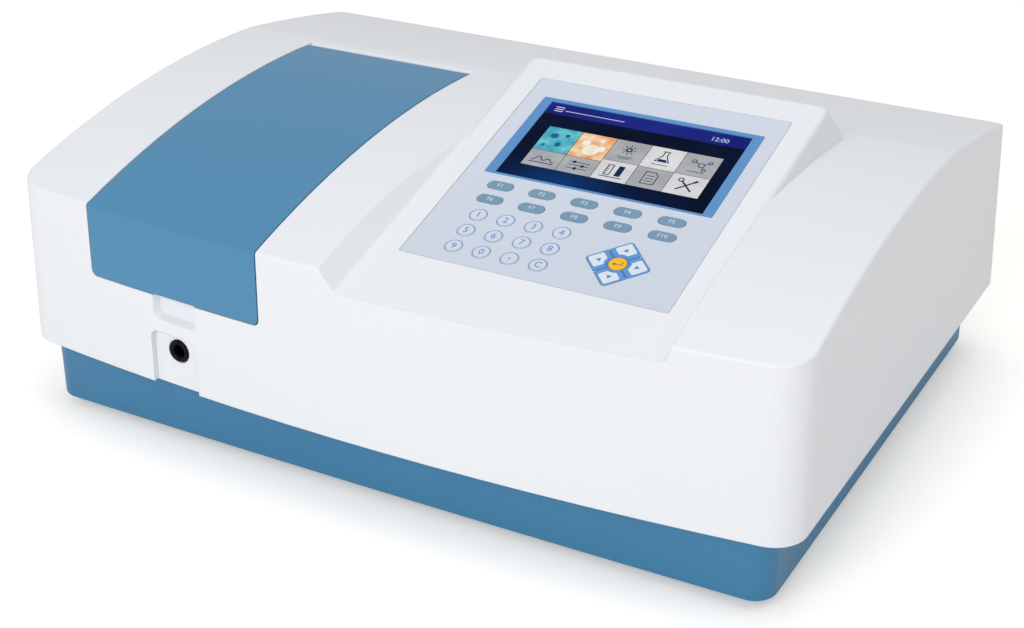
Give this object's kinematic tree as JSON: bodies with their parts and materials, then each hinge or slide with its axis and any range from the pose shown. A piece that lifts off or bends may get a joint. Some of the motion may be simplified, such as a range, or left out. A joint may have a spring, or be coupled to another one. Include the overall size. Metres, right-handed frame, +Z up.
{
  "type": "spectrophotometer",
  "caption": "Bench spectrophotometer: white moulded housing on a blue base, blue lid over a sample compartment with a sliding cell carriage, sloping console with screen and membrane keys.",
  "frame": {"origin": "on the bench under the middle of the overall box", "axes": "+X to the right of the person at the keys, -Y towards that person, +Z up"},
  "size_m": [0.63, 0.4773, 0.253],
  "materials": {
    "shell_white": "fine moulded texture",
    "lid_blue": "satin moulding",
    "base_blue": "satin moulding",
    "black_moulding": "matt black, light tight",
    "foam": "closed-cell foam",
    "steel": "plain",
    "quartz": "clear",
    "black_metal": "black anodised look",
    "gloss_black": "gloss",
    "screen": "lit display under clear glass",
    "bezel_blue": "printed film",
    "overlay": "textured polyester film",
    "board": "solder mask",
    "rubber": "soft rubber",
    "panel_paint": "powder paint",
    "cast_alloy": "cast, machined top",
    "bright_alloy": "machined",
    "steel_case": "zinc plated",
    "front_mirror": "polished",
    "f_key": "printed film",
    "round_key": "printed film",
    "arrow_key": "printed film",
    "enter_key": "printed film"
  },
  "bodies": {
    "housing": {"top_cover": "shell_white", "lid_seal": "foam", "hinge_brackets": "steel", "lid_hinge_pins": "steel", "sample_compartment": "black_moulding", "beam_windows": "quartz", "carriage_rails": "steel", "rod_bush": "gloss_black", "display_module": "screen", "display_bezel": "bezel_blue", "keypad_overlay": "overlay", "keypad_board": "board", "base_pan": "base_blue", "feet": "rubber", "screws": "steel", "rear_panel": "panel_paint", "mains_inlet": "black_moulding", "fan_frame": "black_moulding", "optical_bench": "cast_alloy", "monochromator": "black_metal", "lamp_house": "steel_case", "lamps": "quartz", "detector": "bright_alloy", "main_board": "board", "power_supply": "steel_case"},
    "lid": {"compartment_lid": "lid_blue", "lid_liner": "black_moulding"},
    "carriage": {"cell_carriage": "black_metal"},
    "rocker": {"power_rocker": "gloss_black"},
    "fan": {"fan_rotor": "black_moulding"},
    "grating": {"grating_stage": "bright_alloy"},
    "filters": {"filter_wheel": "black_metal"},
    "mirror": {"source_mirror": "front_mirror"},
    "key_f1": {"key_f1": "f_key"},
    "key_f2": {"key_f2": "f_key"},
    "key_f3": {"key_f3": "f_key"},
    "key_f4": {"key_f4": "f_key"},
    "key_f5": {"key_f5": "f_key"},
    "key_f6": {"key_f6": "f_key"},
    "key_f7": {"key_f7": "f_key"},
    "key_f8": {"key_f8": "f_key"},
    "key_f9": {"key_f9": "f_key"},
    "key_f10": {"key_f10": "f_key"},
    "key_1": {"key_1": "round_key"},
    "key_2": {"key_2": "round_key"},
    "key_3": {"key_3": "round_key"},
    "key_4": {"key_4": "round_key"},
    "key_5": {"key_5": "round_key"},
    "key_6": {"key_6": "round_key"},
    "key_7": {"key_7": "round_key"},
    "key_8": {"key_8": "round_key"},
    "key_9": {"key_9": "round_key"},
    "key_0": {"key_0": "round_key"},
    "key_point": {"key_point": "round_key"},
    "key_clear": {"key_clear": "round_key"},
    "key_right": {"key_right": "arrow_key"},
    "key_up": {"key_up": "arrow_key"},
    "key_left": {"key_left": "arrow_key"},
    "key_down": {"key_down": "arrow_key"},
    "key_enter": {"key_enter": "enter_key"}
  },
  "joints": [
    {"name": "lid_hinge", "type": "hinge", "parent": "housing", "child": "lid", "pos_m": [-0.158, 0.06, 0.2195], "axis": [-1, 0, 0], "range_deg": [0, 80]},
    {"name": "carriage_slide", "type": "slide", "parent": "housing", "child": "carriage", "axis": [0, 1, 0], "range_m": [-0.039, 0.039]},
    {"name": "power_rocker_hinge", "type": "hinge", "parent": "housing", "child": "rocker", "pos_m": [0.196, 0.231, 0.10548], "axis": [1, 0, 0], "range_deg": [0, 18]},
    {"name": "fan_spin", "type": "hinge", "parent": "housing", "child": "fan", "pos_m": [0.115, 0.21752, 0.11411], "axis": [0, 0.9945, 0.1045], "continuous": true},
    {"name": "grating_turn", "type": "hinge", "parent": "housing", "child": "grating", "pos_m": [0.045, -0.028, 0.06], "axis": [0, 0, 1], "range_deg": [-20, 25]},
    {"name": "filter_wheel_turn", "type": "hinge", "parent": "housing", "child": "filters", "pos_m": [0.1319, 0.041, 0.112], "axis": [1, 0, 0], "continuous": true},
    {"name": "mirror_turn", "type": "hinge", "parent": "housing", "child": "mirror", "pos_m": [0.172, 0.02, 0.1], "axis": [0, 0, 1], "range_deg": [0, 40]},
    {"name": "key_f1_press", "type": "slide", "parent": "housing", "child": "key_f1", "axis": [0, 0.2798, -0.96], "range_m": [0, 0.0005], "stiffness_N_per_m": 400},
    {"name": "key_f2_press", "type": "slide", "parent": "housing", "child": "key_f2", "axis": [0, 0.2798, -0.96], "range_m": [0, 0.0005], "stiffness_N_per_m": 400},
    {"name": "key_f3_press", "type": "slide", "parent": "housing", "child": "key_f3", "axis": [0, 0.2798, -0.96], "range_m": [0, 0.0005], "stiffness_N_per_m": 400},
    {"name": "key_f4_press", "type": "slide", "parent": "housing", "child": "key_f4", "axis": [0, 0.2798, -0.96], "range_m": [0, 0.0005], "stiffness_N_per_m": 400},
    {"name": "key_f5_press", "type": "slide", "parent": "housing", "child": "key_f5", "axis": [0, 0.2798, -0.96], "range_m": [0, 0.0005], "stiffness_N_per_m": 400},
    {"name": "key_f6_press", "type": "slide", "parent": "housing", "child": "key_f6", "axis": [0, 0.2798, -0.96], "range_m": [0, 0.0005], "stiffness_N_per_m": 400},
    {"name": "key_f7_press", "type": "slide", "parent": "housing", "child": "key_f7", "axis": [0, 0.2798, -0.96], "range_m": [0, 0.0005], "stiffness_N_per_m": 400},
    {"name": "key_f8_press", "type": "slide", "parent": "housing", "child": "key_f8", "axis": [0, 0.2798, -0.96], "range_m": [0, 0.0005], "stiffness_N_per_m": 400},
    {"name": "key_f9_press", "type": "slide", "parent": "housing", "child": "key_f9", "axis": [0, 0.2798, -0.96], "range_m": [0, 0.0005], "stiffness_N_per_m": 400},
    {"name": "key_f10_press", "type": "slide", "parent": "housing", "child": "key_f10", "axis": [0, 0.2798, -0.96], "range_m": [0, 0.0005], "stiffness_N_per_m": 400},
    {"name": "key_1_press", "type": "slide", "parent": "housing", "child": "key_1", "axis": [0, 0.2798, -0.96], "range_m": [0, 0.0005], "stiffness_N_per_m": 400},
    {"name": "key_2_press", "type": "slide", "parent": "housing", "child": "key_2", "axis": [0, 0.2798, -0.96], "range_m": [0, 0.0005], "stiffness_N_per_m": 400},
    {"name": "key_3_press", "type": "slide", "parent": "housing", "child": "key_3", "axis": [0, 0.2798, -0.96], "range_m": [0, 0.0005], "stiffness_N_per_m": 400},
    {"name": "key_4_press", "type": "slide", "parent": "housing", "child": "key_4", "axis": [0, 0.2798, -0.96], "range_m": [0, 0.0005], "stiffness_N_per_m": 400},
    {"name": "key_5_press", "type": "slide", "parent": "housing", "child": "key_5", "axis": [0, 0.2798, -0.96], "range_m": [0, 0.0005], "stiffness_N_per_m": 400},
    {"name": "key_6_press", "type": "slide", "parent": "housing", "child": "key_6", "axis": [0, 0.2798, -0.96], "range_m": [0, 0.0005], "stiffness_N_per_m": 400},
    {"name": "key_7_press", "type": "slide", "parent": "housing", "child": "key_7", "axis": [0, 0.2798, -0.96], "range_m": [0, 0.0005], "stiffness_N_per_m": 400},
    {"name": "key_8_press", "type": "slide", "parent": "housing", "child": "key_8", "axis": [0, 0.2798, -0.96], "range_m": [0, 0.0005], "stiffness_N_per_m": 400},
    {"name": "key_9_press", "type": "slide", "parent": "housing", "child": "key_9", "axis": [0, 0.2798, -0.96], "range_m": [0, 0.0005], "stiffness_N_per_m": 400},
    {"name": "key_0_press", "type": "slide", "parent": "housing", "child": "key_0", "axis": [0, 0.2798, -0.96], "range_m": [0, 0.0005], "stiffness_N_per_m": 400},
    {"name": "key_point_press", "type": "slide", "parent": "housing", "child": "key_point", "axis": [0, 0.2798, -0.96], "range_m": [0, 0.0005], "stiffness_N_per_m": 400},
    {"name": "key_clear_press", "type": "slide", "parent": "housing", "child": "key_clear", "axis": [0, 0.2798, -0.96], "range_m": [0, 0.0005], "stiffness_N_per_m": 400},
    {"name": "key_right_press", "type": "slide", "parent": "housing", "child": "key_right", "axis": [0, 0.2798, -0.96], "range_m": [0, 0.0005], "stiffness_N_per_m": 400},
    {"name": "key_up_press", "type": "slide", "parent": "housing", "child": "key_up", "axis": [0, 0.2798, -0.96], "range_m": [0, 0.0005], "stiffness_N_per_m": 400},
    {"name": "key_left_press", "type": "slide", "parent": "housing", "child": "key_left", "axis": [0, 0.2798, -0.96], "range_m": [0, 0.0005], "stiffness_N_per_m": 400},
    {"name": "key_down_press", "type": "slide", "parent": "housing", "child": "key_down", "axis": [0, 0.2798, -0.96], "range_m": [0, 0.0005], "stiffness_N_per_m": 400},
    {"name": "key_enter_press", "type": "slide", "parent": "housing", "child": "key_enter", "axis": [0, 0.2798, -0.96], "range_m": [0, 0.0005], "stiffness_N_per_m": 400}
  ]
}
